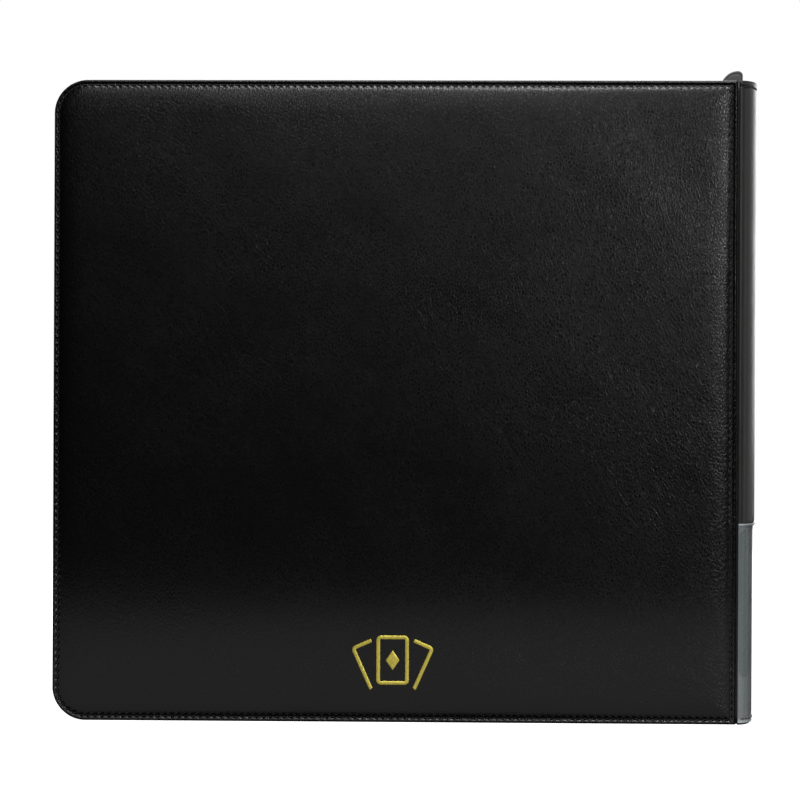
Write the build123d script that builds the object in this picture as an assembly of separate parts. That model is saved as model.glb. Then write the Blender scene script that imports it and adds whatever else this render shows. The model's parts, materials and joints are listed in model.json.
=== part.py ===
from build123d import *
import os

# A zip-round binder for trading cards, standing on its lower edge.
# X runs from the fore-edge (-X) to the spine (+X), Y from the back cover (-Y) to the front cover (+Y),
# and Z is up. The origin is the middle of the bounding box's bottom. All sizes are in millimetres.

# ---- driving sizes: covers ----
cover_width = 345.0
cover_height = 324.0
corner_radius = 17.0
lining_thick = 0.5
board_thick = 1.8
foam_thick = 1.6
leather_thick = 1.0
flange_width = 7.0
stitch_inset = 3.0
thread_width = 0.5
thread_depth = 0.3
groove_width = 0.8
groove_depth = 0.4
edge_fillet = 0.8
least_corner = 1.0

# ---- driving sizes: card leaves ----
leaf_count = 20
leaf_pitch = 1.8
core_thick = 0.3
film_thick = 0.15
pocket_gap = 0.35
pocket_width = 76.0
pocket_columns = 4
pocket_rows = 3
weld_width = 2.5
slit_width = 1.5
leaf_side_clear = 0.5
leaf_edge_clear = 1.5
leaf_end_clear = 0.7
root_setback = 6.0

# ---- driving sizes: spine ----
spine_bulge = 9.5
spine_recess = 1.2
spine_leather_thick = 1.2
spine_board_thick = 1.6
spine_lining_thick = 0.5
hinge_gap = 0.8
hinge_strip_thick = 0.4
binding_plate_thick = 3.2
binding_web_thick = 1.0
binding_face_clear = 0.45
binding_side_clear = 0.85
spine_board_setback = 5.0
spine_lining_setback = 1.0
spine_thread_rise = 0.25
spine_stitch_inset = 3.1

# ---- driving sizes: label pocket and card ----
window_height = 100.0
window_foot = 1.0
window_thick = 0.3
window_seal = 5.0
window_side_seal = 0.1
card_thick = 0.3
card_clear = 0.15
card_foot = 24.0
card_head_clear = 3.0
card_corner = 2.0
card_arch_rise = 3.0

# ---- driving sizes: zip ----
zip_inset = 5.0
tape_thick = 0.8
coil_width = 1.6
coil_height = 2.2
coil_half_gap = 0.35
tape_end_setback = 14.0
stop_length = 2.0
slider_setback = 21.0
slider_length = 10.0
slider_width = 8.0
slider_plate_thick = 1.2
slider_clear = 0.3
slider_web_thick = 0.3
slider_web_length = 3.0
slider_web_setback = 1.0
slider_corner = 2.4
bridge_length = 6.0
bridge_width = 1.6
bridge_hole_length = 3.4
bridge_hole_height = 1.5
bridge_bar_height = 0.7
bridge_fillet = 0.55
link_rod = 0.9
link_reach = 6.5
link_width = 5.2
pull_length = 24.0
pull_width = 7.0
pull_thick = 1.6
pull_tip_fillet = 3.0
end_tab_thick = 2.4
end_tab_rise = 6.6
end_tab_reach = 7.6
end_tab_overhang = 3.5
end_tab_radius_x = 9.6
end_tab_radius_z = 8.6
end_tab_shoulder = 2.0
end_tuck_height = 6.0

# ---- driving sizes: foil emblem on the back cover ----
emblem_card_width = 16.5
emblem_card_height = 25.0
emblem_card_corner = 2.4
emblem_line = 2.0
emblem_fan_angle = 24.0
emblem_fan_shift = 8.6
emblem_fan_drop = 1.7
emblem_foot = 19.1
emblem_diamond_width = 7.2
emblem_diamond_height = 10.4
emblem_recess = 0.25
emblem_foil_thick = 0.2

# ---- margins that only shape the cutting tools ----
cut_margin = 1.0
face_tolerance = 0.01


def leaf_corner_cut():
    """The leg of a leaf's cut corner that keeps it inside the coil's round corner."""
    room = corner_radius - coil_inner_inset - leaf_edge_clear / 2
    across = corner_radius - leaf_edge_inset
    along = corner_radius - leaf_end_inset
    at_end = across - (room**2 - along**2) ** 0.5
    at_edge = along - (room**2 - across**2) ** 0.5
    on_slope = across + along - room * 2**0.5
    return max(at_end, at_edge, on_slope)


# ---- worked-out sizes ----
leaf_thick = core_thick + 2 * (film_thick + pocket_gap)
stack_half = ((leaf_count - 1) * leaf_pitch + leaf_thick) / 2
inner_half = stack_half + leaf_side_clear
flange_depth = lining_thick + board_thick + leather_thick
cover_thick = lining_thick + board_thick + foam_thick + leather_thick
outer_half = inner_half + cover_thick
window_stand = card_thick + 2 * card_clear
spine_reach = spine_bulge + window_stand + window_thick + spine_thread_rise
overall_width = cover_width + hinge_gap + spine_reach
x_edge = -overall_width / 2
x_hinge = x_edge + cover_width
x_spine = x_hinge + hinge_gap
spine_half = outer_half - spine_recess
x_leaf_axis = x_hinge - root_setback
tape_mid_inset = zip_inset + tape_thick / 2
coil_outer_inset = tape_mid_inset - coil_height / 2
coil_inner_inset = tape_mid_inset + coil_height / 2
leaf_edge_inset = coil_inner_inset + leaf_edge_clear
leaf_end_inset = coil_inner_inset + slider_clear + slider_plate_thick + leaf_end_clear
x_leaf_edge = x_edge + leaf_edge_inset
leaf_height = cover_height - 2 * leaf_end_inset
column_pitch = pocket_width + weld_width
row_pitch = (leaf_height - weld_width) / pocket_rows
pocket_block = pocket_columns * column_pitch + weld_width
x_tape_end = x_hinge - tape_end_setback
x_slider = x_hinge - slider_setback
z_slider_plate = cover_height - coil_outer_inset + slider_clear
z_pull_pivot = z_slider_plate + slider_plate_thick + slider_clear + link_rod / 2
leaf_corner = leaf_corner_cut()
binding_half = inner_half - binding_side_clear
x_binding = x_leaf_axis + binding_face_clear

os.makedirs("parts", exist_ok=True)


def save(shape, node):
    """Write one sub-part."""
    shape.label = node
    export_step(shape, "parts/" + node + ".step")


def block(x0, x1, y0, y1, z0, z1):
    """A box between two corners."""
    centre = Pos((x0 + x1) / 2, (y0 + y1) / 2, (z0 + z1) / 2)
    return centre * Box(x1 - x0, y1 - y0, z1 - z0)


def upright(face, y_a, y_b):
    """A face drawn in X and Z, made solid between two Y planes."""
    plane = Plane(origin=(0, max(y_a, y_b), 0), x_dir=(1, 0, 0), z_dir=(0, -1, 0))
    return extrude(plane * face, amount=abs(y_b - y_a))


def outline(inset, hinge_inset):
    """The cover's outline moved inwards: round corners at the fore-edge, square ones at the hinge."""
    x0 = x_edge + inset
    x1 = x_hinge - hinge_inset
    height = cover_height - 2 * inset
    face = Pos((x0 + x1) / 2, cover_height / 2) * Rectangle(x1 - x0, height)
    corners = face.vertices().group_by(Axis.X)[0]
    return fillet(corners, max(corner_radius - inset, least_corner))


def slab(side, inset, hinge_inset, depth_a, depth_b):
    """A layer of one cover, between two depths measured outwards from its inner face."""
    y_a = side * (inner_half + depth_a)
    y_b = side * (inner_half + depth_b)
    return upright(outline(inset, hinge_inset), y_a, y_b)


def stitch_ring(side, width, depth):
    """A closed band under the flange's face, centred on the line of stitches."""
    low = flange_depth - depth
    outer = slab(side, stitch_inset - width / 2, stitch_inset - width / 2, low, flange_depth)
    inner = slab(side, stitch_inset + width / 2, stitch_inset + width / 2, low, flange_depth)
    return outer - inner


def cover_leather(side):
    """The cover's skin: a rim, a low stitched flange all round and a padded plateau."""
    wall = leather_thick
    rim = slab(side, 0, 0, 0, flange_depth)
    rim_edges = rim.edges().filter_by_position(Axis.Y, *face_band(side, flange_depth))
    rim = fillet(rim_edges, edge_fillet)
    plateau = slab(side, flange_width, flange_width, 0, cover_thick)
    top_edges = plateau.edges().filter_by_position(Axis.Y, *face_band(side, cover_thick))
    plateau = fillet(top_edges, edge_fillet)
    board_room = slab(side, wall, wall, 0, lining_thick + board_thick)
    foam_room = slab(side, flange_width + wall, flange_width + wall, 0, cover_thick - wall)
    return rim + plateau - board_room - foam_room - stitch_ring(side, groove_width, groove_depth)


def face_band(side, depth):
    """The narrow range of Y around a cover's face at one depth."""
    y = side * (inner_half + depth)
    return y - face_tolerance, y + face_tolerance


def make_cover(side, name):
    """The five layers of one cover."""
    leather = cover_leather(side)
    if side < 0:
        leather = leather - emblem(emblem_recess)
    save(leather, name + "_leather")
    wall = leather_thick
    low = lining_thick + board_thick
    save(slab(side, flange_width + wall, flange_width + wall, low, low + foam_thick), name + "_foam")
    save(slab(side, wall, wall, lining_thick, low), name + "_board")
    save(slab(side, wall, wall, 0, lining_thick), name + "_lining")
    ring = stitch_ring(side, thread_width, groove_depth)
    cap = slab(side, 0, 0, flange_depth - groove_depth + thread_depth, flange_depth)
    save(ring - cap, name + "_stitching")


def card_outline(shift, drop, angle, grow):
    """One playing-card shape of the emblem, grown outwards by a margin."""
    centre_x = (x_edge + x_hinge) / 2
    centre_z = emblem_foot + emblem_card_height / 2
    width = emblem_card_width + 2 * grow
    height = emblem_card_height + 2 * grow
    shape = RectangleRounded(width, height, emblem_card_corner + grow)
    return Pos(centre_x + shift, centre_z - drop) * Rot(0, 0, angle) * shape


def emblem(depth):
    """Three fanned card outlines and a diamond, let into the back cover's face."""
    y_face = -outer_half
    places = (
        (0.0, 0.0, 0.0),
        (-emblem_fan_shift, emblem_fan_drop, emblem_fan_angle),
        (emblem_fan_shift, emblem_fan_drop, -emblem_fan_angle),
    )
    front = card_outline(*places[0], 0)
    lines = front - card_outline(*places[0], -emblem_line)
    for place in places[1:]:
        ring = card_outline(*place, 0) - card_outline(*place, -emblem_line)
        lines = lines + (ring - card_outline(*places[0], emblem_line))
    tip_x, tip_z = emblem_diamond_width / 2, emblem_diamond_height / 2
    diamond = make_face(Polyline((0, -tip_z), (tip_x, 0), (0, tip_z), (-tip_x, 0), close=True))
    centre_x = (x_edge + x_hinge) / 2
    centre_z = emblem_foot + emblem_card_height / 2
    lines = lines + Pos(centre_x, centre_z) * diamond
    return upright(lines, y_face, y_face + depth)


def make_emblem():
    """The foil, just below the face of the leather."""
    foil = emblem(emblem_recess) - emblem(emblem_recess - emblem_foil_thick)
    save(foil, "foil_emblem")


def spine_form(grow, z0, z1):
    """Half of an upright elliptic cylinder standing on the spine's base plane."""
    oval = Ellipse(spine_bulge + grow, spine_half + grow)
    half = oval & Pos(spine_bulge, 0) * Rectangle(2 * spine_bulge, 4 * spine_half)
    return extrude(Pos(x_spine, 0, z0) * half, amount=z1 - z0)


def spine_shell(grow_out, grow_in, z0, z1):
    """A curved layer of the spine between two offsets from the leather's outer face."""
    return spine_form(grow_out, z0, z1) - spine_form(grow_in, z0, z1)


def make_spine():
    """Leather, board and lining of the rounded spine, and the thread across its two ends."""
    leather_in = -spine_leather_thick
    board_in = leather_in - spine_board_thick
    lining_in = board_in - spine_lining_thick
    save(spine_shell(0, leather_in, 0, cover_height), "spine_leather")
    low, high = spine_board_setback, cover_height - spine_board_setback
    save(spine_shell(leather_in, board_in, low, high), "spine_board")
    low, high = spine_lining_setback, cover_height - spine_lining_setback
    save(spine_shell(board_in, lining_in, low, high), "spine_lining")
    top = cover_height - spine_stitch_inset
    upper = spine_shell(spine_thread_rise, 0, top - thread_width / 2, top + thread_width / 2)
    over_film = window_stand + window_thick
    foot = spine_stitch_inset
    low, high = foot - thread_width / 2, foot + thread_width / 2
    lower = spine_shell(over_film + spine_thread_rise, over_film, low, high)
    save(Compound([upper, lower]), "spine_stitching")


def make_label():
    """The clear pocket over the foot of the spine and the card that slides in it from above."""
    low, high = window_foot, window_foot + window_height
    film = spine_shell(window_stand + window_thick, window_stand, low, high)
    seal = spine_shell(window_stand, 0, low, high)
    side_line = spine_half - window_side_seal
    x_low, x_high = x_spine - cut_margin, x_spine + 2 * spine_reach
    room = block(x_low, x_high, -side_line, side_line, low + window_seal, high + cut_margin)
    save(film + (seal - room), "label_window")
    card_low, card_high = card_foot, high - card_head_clear
    card = spine_shell(card_clear + card_thick, card_clear, card_low, card_high)
    card_half = side_line - card_clear
    height = card_high - card_low
    middle = (card_low + card_high) / 2
    shape = Pos(0, middle) * RectangleRounded(2 * card_half, height, card_corner)
    arch_half = card_half - card_corner
    arch_radius = (arch_half**2 + card_arch_rise**2) / (2 * card_arch_rise)
    shape = shape - Pos(0, card_low + card_arch_rise - arch_radius) * Circle(arch_radius)
    cutter = extrude(Plane.YZ.offset(x_spine) * shape, amount=2 * spine_reach)
    save(card & cutter, "label_card")


def make_binding():
    """The plate that holds the leaves' roots, with two webs that stand on the spine's lining."""
    low, high = leaf_end_inset, cover_height - leaf_end_inset
    plate_back = x_binding + binding_plate_thick
    plate = block(x_binding, plate_back, -binding_half, binding_half, low, high)
    inner = -(spine_leather_thick + spine_board_thick + spine_lining_thick)
    room = spine_form(inner, low, high)
    x_far = x_spine + spine_bulge
    for side in (-1, 1):
        y_out, y_in = side * binding_half, side * (binding_half - binding_web_thick)
        y0, y1 = min(y_out, y_in), max(y_out, y_in)
        plate = plate + block(plate_back, x_spine, y0, y1, low, high)
        plate = plate + (block(x_spine, x_far, y0, y1, low, high) & room)
    save(plate, "page_binding")


def make_hinge_strips():
    """The leather that closes the spine's two long edges, facing the covers across the hinge gap."""
    low, high = spine_lining_setback, cover_height - spine_lining_setback
    shells = spine_leather_thick + spine_board_thick + spine_lining_thick
    for side, name in ((-1, "hinge_strip_back"), (1, "hinge_strip_front")):
        y_out, y_in = side * spine_half, side * (spine_half - shells)
        strip = block(x_spine - hinge_strip_thick, x_spine, min(y_out, y_in), max(y_out, y_in), low, high)
        save(strip, name)


def make_zip_side(side, name):
    """One half of the zip: the tape that stands on the cover's lining, its coil and its end stops."""
    tape = outline(zip_inset, -cut_margin) - outline(zip_inset + tape_thick, -cut_margin)
    coil = outline(coil_outer_inset, -cut_margin) - outline(coil_inner_inset, -cut_margin)
    x_room, z_room = overall_width, 2 * cover_height
    keep = Pos(x_tape_end - x_room / 2, cover_height / 2) * Rectangle(x_room, z_room)
    coil_end = coil_half_gap + coil_width
    save(upright(tape & keep, side * coil_end, side * inner_half), "zip_tape_" + name)
    coil_keep = Pos(-stop_length, 0) * keep
    save(upright(coil & coil_keep, side * coil_half_gap, side * coil_end), "zip_coil_" + name)
    stops = coil & (keep - coil_keep)
    save(upright(stops, side * coil_half_gap, side * coil_end), "zip_stops_" + name)


def make_slider():
    """The zip's slider: a plate outside and a plate inside the coils, a thin web between, and a bridge."""
    half, wide = slider_length / 2, slider_width / 2
    top = z_slider_plate + slider_plate_thick
    z_inner = cover_height - coil_inner_inset - slider_clear
    outer = block(x_slider - half, x_slider + half, -wide, wide, z_slider_plate, top)
    inner = block(x_slider - half, x_slider + half, -wide, wide, z_inner - slider_plate_thick, z_inner)
    outer = fillet(outer.edges().filter_by(Axis.Z), slider_corner)
    inner = fillet(inner.edges().filter_by(Axis.Z), slider_corner)
    web_half = slider_web_thick / 2
    web_x = x_slider + half - slider_web_setback
    web = block(web_x - slider_web_length, web_x, -web_half, web_half, z_inner, z_slider_plate)
    bridge_top = top + bridge_hole_height + bridge_bar_height
    reach = bridge_length / 2
    bridge = block(x_slider - reach, x_slider + reach, -bridge_width / 2, bridge_width / 2, top, bridge_top)
    bridge = fillet(bridge.edges().filter_by(Axis.Y).group_by(Axis.Z)[-1], bridge_fillet)
    hole_half = bridge_hole_length / 2
    hole = block(x_slider - hole_half, x_slider + hole_half, -bridge_width, bridge_width,
                 top, top + bridge_hole_height)
    save(outer + inner + web + (bridge - hole), "zip_slider")


def make_pull():
    """The wire link through the slider's bridge and the flat tab on it, lying towards the fore-edge."""
    rod = link_rod / 2
    side_y = link_width / 2 - rod
    near, far = x_slider, x_slider - link_reach
    z = z_pull_pivot
    loop = Cylinder(rod, link_width)
    link = Pos(near, 0, z) * Rot(90, 0, 0) * loop
    link = link + Pos(far, 0, z) * Rot(90, 0, 0) * loop
    for side in (-1, 1):
        y = side * side_y
        link = link + block(far, near, y - rod, y + rod, z - rod, z + rod)
    save(link, "zip_pull_link")
    x1 = far - rod
    tab = block(x1 - pull_length, x1, -pull_width / 2, pull_width / 2, z - pull_thick / 2, z + pull_thick / 2)
    tab = fillet(tab.edges().filter_by(Axis.Z).group_by(Axis.X)[0], pull_tip_fillet)
    save(tab, "zip_pull_tab")


def make_end_tabs():
    """The folded leather tab that closes the zip's upper end, and the tuck that closes its lower end."""
    top = cover_height + end_tab_rise
    low = cover_height - leaf_end_inset
    x_right = x_hinge + end_tab_overhang
    centre = Pos(x_right - end_tab_shoulder, top - end_tab_radius_z)
    oval = centre * Ellipse(end_tab_radius_x, end_tab_radius_z)
    foot_height = top - end_tab_radius_z - low
    x_left = x_right - end_tab_shoulder - end_tab_radius_x
    foot = Pos((x_left + x_right) / 2, low + foot_height / 2) * Rectangle(x_right - x_left, foot_height)
    reach = 2 * end_tab_radius_x
    keep = Pos(x_right - reach / 2, (low + top) / 2) * Rectangle(reach, top - low)
    half = end_tab_thick / 2
    save(upright((oval + foot) & keep, -half, half), "zip_end_tab_top")
    tuck_low = leaf_end_inset - end_tuck_height
    tuck = block(x_hinge - end_tab_reach, x_right, -half, half, tuck_low, leaf_end_inset)
    save(tuck, "zip_end_tab_bottom")


def make_leaf():
    """One leaf on the middle plane: a core sheet with welded side-opening pockets on both faces."""
    low, high = leaf_end_inset, cover_height - leaf_end_inset
    half = leaf_thick / 2
    x_block = x_leaf_edge + pocket_block
    leaf = block(x_leaf_edge, x_block, -half, half, low, high)
    free_corners = leaf.edges().filter_by(Axis.Y).group_by(Axis.X)[0]
    leaf = chamfer(free_corners, leaf_corner)
    root = block(x_block, x_leaf_axis + core_thick / 2, -core_thick / 2, core_thick / 2, low, high)
    rooms = []
    for column in range(pocket_columns):
        x0 = x_leaf_edge + weld_width + column * column_pitch
        x1 = x0 + pocket_width
        for row in range(pocket_rows):
            z0 = low + weld_width + row * row_pitch
            z1 = z0 + row_pitch - weld_width
            for side in (-1, 1):
                y_in = side * core_thick / 2
                y_film = side * (core_thick / 2 + pocket_gap)
                y_out = side * (half + film_thick)
                rooms.append(block(x0, x1, min(y_in, y_film), max(y_in, y_film), z0, z1))
                rooms.append(block(x1 - slit_width, x1, min(y_in, y_out), max(y_in, y_out), z0, z1))
    return (leaf - rooms) + root


def make_leaves():
    """All the leaves, numbered from the front cover to the back cover."""
    leaf = make_leaf()
    y_first = (leaf_count - 1) * leaf_pitch / 2
    for number in range(leaf_count):
        y = y_first - number * leaf_pitch
        save(Pos(0, y, 0) * leaf, "page_%02d" % (number + 1))


make_cover(-1, "back_cover")
make_cover(1, "front_cover")
make_emblem()
make_spine()
make_label()
make_binding()
make_hinge_strips()
make_zip_side(-1, "back")
make_zip_side(1, "front")
make_slider()
make_pull()
make_end_tabs()
make_leaves()
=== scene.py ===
"""A zip-round binder for trading cards: padded leatherette covers, a rounded spine and pocket leaves."""

import json
import math

import bpy
import numpy as np
from bpy.props import FloatProperty, FloatVectorProperty, IntProperty, PointerProperty
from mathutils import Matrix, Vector


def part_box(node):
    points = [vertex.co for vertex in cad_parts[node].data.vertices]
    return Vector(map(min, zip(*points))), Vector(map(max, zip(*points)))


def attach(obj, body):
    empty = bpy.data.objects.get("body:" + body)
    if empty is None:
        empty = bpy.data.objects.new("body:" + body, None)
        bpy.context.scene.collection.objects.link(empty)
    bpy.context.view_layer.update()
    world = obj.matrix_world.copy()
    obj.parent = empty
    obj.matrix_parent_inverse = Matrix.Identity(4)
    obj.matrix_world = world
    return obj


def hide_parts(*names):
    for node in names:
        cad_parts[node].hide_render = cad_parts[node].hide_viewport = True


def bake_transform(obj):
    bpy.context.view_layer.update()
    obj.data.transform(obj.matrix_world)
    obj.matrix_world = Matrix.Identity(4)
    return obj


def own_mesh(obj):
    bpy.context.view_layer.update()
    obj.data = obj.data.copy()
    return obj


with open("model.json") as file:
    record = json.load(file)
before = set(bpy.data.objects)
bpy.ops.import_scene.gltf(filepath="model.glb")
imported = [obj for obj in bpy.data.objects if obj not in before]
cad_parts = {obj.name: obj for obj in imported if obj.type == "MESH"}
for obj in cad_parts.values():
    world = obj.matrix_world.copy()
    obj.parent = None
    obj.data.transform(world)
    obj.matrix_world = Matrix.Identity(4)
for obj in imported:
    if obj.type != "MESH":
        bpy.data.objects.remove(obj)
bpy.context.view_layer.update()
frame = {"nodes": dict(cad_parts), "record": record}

bl_info = {
    "name": "Card binder",
    "version": (1, 0, 0),
    "blender": (4, 5, 0),
    "location": "View3D > Sidebar > Binder",
    "description": "Builds the soft goods, thread, zip and finishes of a zip-round card binder",
    "category": "Object",
}

MM = 0.001
SIDES = {"back": -1, "front": 1}

# Places read from the frame.
cover_low, cover_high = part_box("back_cover_leather")
spine_low, spine_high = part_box("spine_leather")
window_low, window_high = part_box("label_window")
card_low, card_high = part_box("label_card")
coil_low, coil_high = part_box("zip_coil_back")
tape_low, tape_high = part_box("zip_tape_back")
tab_low, tab_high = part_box("zip_end_tab_top")
pull_low, pull_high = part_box("zip_pull_tab")
foil_low, foil_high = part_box("foil_emblem")
EDGE_X, HINGE_X = cover_low.x, cover_high.x
HEIGHT = cover_high.z
INNER_Y = -cover_high.y
OUTER_Y = -cover_low.y
SPINE_X = spine_low.x
LEAVES = sorted(name for name in frame["nodes"] if name.startswith("page_") and name[5:].isdigit())
# Each of the spine's two seams, in from its foot or its head.
SPINE_SEAM = 3.1 * MM


# ---- mesh helpers ----

def mesh_piece(name, points, faces):
    """A mesh object from an array of points and arrays of faces (quads, triangles or one long ring)."""
    lists = [np.asarray(block, dtype=np.int32) for block in faces if len(block)]
    sizes = np.concatenate([np.full(len(block), block.shape[1], np.int32) for block in lists])
    corners = np.concatenate([block.ravel() for block in lists])
    starts = np.concatenate([[0], np.cumsum(sizes)[:-1]]).astype(np.int32)
    mesh = bpy.data.meshes.new(name)
    mesh.vertices.add(len(points))
    mesh.vertices.foreach_set("co", np.asarray(points, np.float32).ravel())
    mesh.loops.add(len(corners))
    mesh.loops.foreach_set("vertex_index", corners)
    mesh.polygons.add(len(sizes))
    mesh.polygons.foreach_set("loop_start", starts)
    mesh.polygons.foreach_set("loop_total", sizes)
    mesh.polygons.foreach_set("use_smooth", np.full(len(sizes), True))
    mesh.update(calc_edges=True)
    mesh.validate()
    piece = bpy.data.objects.new(name, mesh)
    bpy.context.scene.collection.objects.link(piece)
    return piece


def grid_faces(rows, columns, wrap_rows=False, wrap_columns=False, first=0):
    """Quads between neighbouring points of a grid, in row order, closed round either way if asked."""
    index = first + np.arange(rows * columns).reshape(rows, columns)
    if wrap_rows:
        index = np.vstack([index, index[:1]])
    if wrap_columns:
        index = np.hstack([index, index[:, :1]])
    quads = np.stack([index[:-1, :-1], index[:-1, 1:], index[1:, 1:], index[1:, :-1]], axis=-1)
    return quads.reshape(-1, 4)


def sheet_faces(rows, columns):
    """The faces of a thin sheet: a grid, the same grid turned over, and a wall round the edge."""
    size = rows * columns
    front = grid_faces(rows, columns)
    index = np.arange(size).reshape(rows, columns)
    ring = np.concatenate([index[0, :-1], index[:-1, -1], index[-1, :0:-1], index[:0:-1, 0]])
    after = np.roll(ring, -1)
    wall = np.stack([ring, ring + size, after + size, after], -1)
    return [front[:, ::-1], front + size, wall]


def closed_sweep(name, sections):
    """A tube through closed sections, an array (stations, points, 3), with a flat cap on each end."""
    stations, around = sections.shape[:2]
    quads = grid_faces(stations, around, wrap_columns=True)
    first = np.arange(around)[None, ::-1]
    last = (stations - 1) * around + np.arange(around)[None]
    return mesh_piece(name, sections.reshape(-1, 3), [quads, first, last])


def smooth_step(t):
    """0 before 0, 1 after 1 and an even S curve between."""
    t = np.clip(t, 0.0, 1.0)
    return t * t * (3.0 - 2.0 * t)


def points_of(piece):
    """A piece's vertices as an array."""
    points = np.empty(len(piece.data.vertices) * 3, np.float32)
    piece.data.vertices.foreach_get("co", points)
    return points.reshape(-1, 3)


def facing_out(piece):
    """True if a closed mesh has its faces outwards: its signed volume is then above zero."""
    mesh = piece.data
    mesh.calc_loop_triangles()
    triangles = np.empty(len(mesh.loop_triangles) * 3, np.int32)
    mesh.loop_triangles.foreach_get("vertices", triangles)
    a, b, c = (points_of(piece)[triangles.reshape(-1, 3)[:, k]].astype(float) for k in range(3))
    return float((a * np.cross(b, c)).sum()) > 0.0


def finished(piece, material, body, *nodes, slot=None):
    """Turns a closed piece's faces outwards if need be, gives it its finish and body, and hides the nodes."""
    if not facing_out(piece):
        piece.data.flip_normals()
    piece.data.materials.append(material)
    if body:
        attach(piece, body)
    if nodes:
        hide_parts(*nodes)
    return piece


# ---- the cover's outline ----

def rounded_side(inset, radius, share, side):
    """Points on one side of the cover's outline moved in by inset, at shares 0 to 1 of that side's length.

    The outline is a rectangle whose two fore-edge corners are round. Its four sides run from the middle of
    the lower round corner to the lower square corner, up the hinge edge, back along the top and down the
    fore-edge, and each side is a quarter turn of half a corner joined to a straight run.
    """
    low_x, high_x = EDGE_X + inset, HINGE_X - inset
    low_z, high_z = inset, HEIGHT - inset
    arc = radius * math.pi / 4
    if side == "hinge":
        return np.stack([np.full_like(share, high_x), low_z + share * (high_z - low_z)], -1)
    if side == "fore":
        run = high_z - low_z - 2 * radius
        along = share * (run + 2 * arc)
        first = np.clip(along, 0, arc) / radius
        middle = np.clip(along - arc, 0, run)
        last = np.clip(along - arc - run, 0, arc) / radius
        turn = math.pi * 0.75 + first + last
        x = low_x + radius + radius * np.cos(turn)
        z = np.where(along <= arc + run / 2, high_z - radius, low_z + radius) + radius * np.sin(turn)
        straight = (along > arc) & (along < arc + run)
        x = np.where(straight, low_x, x)
        z = np.where(straight, high_z - radius - middle, z)
        return np.stack([x, z], -1)
    run = high_x - low_x - radius
    along = share * (run + arc)
    turn = math.pi * 1.25 + np.clip(along, 0, arc) / radius
    x = np.where(along < arc, low_x + radius + radius * np.cos(turn), low_x + radius + along - arc)
    z = np.where(along < arc, low_z + radius + radius * np.sin(turn), low_z)
    if side == "top":
        x, z = x[::-1], (low_z + high_z - z)[::-1]
    return np.stack([x, z], -1)


def outline_ring(inset, radius, across, up):
    """A closed ring of points round the outline, with across points on each long run and up on each end."""
    wide, tall = np.linspace(0, 1, across + 1), np.linspace(0, 1, up + 1)
    sides = [
        rounded_side(inset, radius, wide, "bottom")[:-1],
        rounded_side(inset, radius, tall, "hinge")[:-1],
        rounded_side(inset, radius, wide, "top")[:-1],
        rounded_side(inset, radius, tall, "fore")[:-1],
    ]
    return np.concatenate(sides)


def inner_patch(inset, radius, across, up):
    """Points that fill the outline, an array (up + 1, across + 1, 2): a Coons patch of its four sides."""
    wide, tall = np.linspace(0, 1, across + 1), np.linspace(0, 1, up + 1)
    low = rounded_side(inset, radius, wide, "bottom")[None]
    high = rounded_side(inset, radius, wide, "top")[::-1][None]
    right = rounded_side(inset, radius, tall, "hinge")[:, None]
    left = rounded_side(inset, radius, tall, "fore")[::-1][:, None]
    u, v = wide[None, :, None], tall[:, None, None]
    ruled = (1 - v) * low + v * high + (1 - u) * left + u * right
    corners = (
        (1 - u) * (1 - v) * low[:, :1] + u * (1 - v) * low[:, -1:]
        + (1 - u) * v * high[:, :1] + u * v * high[:, -1:]
    )
    return ruled - corners


def even_path(points, closed, step):
    """Points at about one step apart along a line, with the unit directions there."""
    if closed:
        points = np.vstack([points, points[:1]])
    lengths = np.linalg.norm(np.diff(points, axis=0), axis=1)
    at = np.concatenate([[0], np.cumsum(lengths)])
    count = max(2, int(round(at[-1] / step)))
    wanted = (np.arange(count) + 0.5) * at[-1] / count
    nudge = step * 0.1
    place, before, after = (
        np.stack([np.interp(where, at, column) for column in points.T], -1)
        for where in (wanted, wanted - nudge, wanted + nudge)
    )
    way = after - before
    return place, way / np.linalg.norm(way, axis=1, keepdims=True)


# ---- settings ----

def length_of(name, description, millimetres):
    return FloatProperty(name=name, description=description, default=millimetres * MM, unit="LENGTH")


def angle_of(name, description, degrees):
    return FloatProperty(name=name, description=description, default=math.radians(degrees), subtype="ANGLE")


def colour_of(name, description, *levels):
    return FloatVectorProperty(name=name, description=description, default=levels, subtype="COLOR", size=3)


class BinderCover(bpy.types.PropertyGroup):
    corner: length_of("Corner radius", "Radius of the two fore-edge corners", 17)
    flange_rise: length_of("Flange height", "Stitched flange's face above the inner face", 3.3)
    bead: length_of("Bead", "Inset of the rolled edge's crest", 1.05)
    crease: length_of("Crease", "Depth of the crease that holds the stitches", 0.55)
    pad_rise: length_of("Pad height", "Padded face above the flange's face", 1.7)
    crown: length_of("Crown", "Extra height of the padding in the middle of the cover", 3.2)
    pad_roll: length_of("Pad roll", "Width over which the padding swells", 14)
    stitch_inset: length_of("Stitch inset", "Stitches' distance from the edge", 2.6)
    stitches_across: IntProperty(
        name="Stitches across", description="Stitches along the head or the foot of a cover", default=95)
    stitches_up: IntProperty(
        name="Stitches up", description="Stitches along the hinge or the fore-edge of a cover", default=88)
    pucker: length_of("Pucker", "Rise of the leather between two stitches", 0.11)
    thread: length_of("Thread", "Thickness of the sewing thread", 0.62)
    grain: length_of("Grain", "Depth of the pebbled grain", 0.056)
    colour: colour_of("Leatherette", "Colour of the covers", 0.0026, 0.0026, 0.0025)


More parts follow.
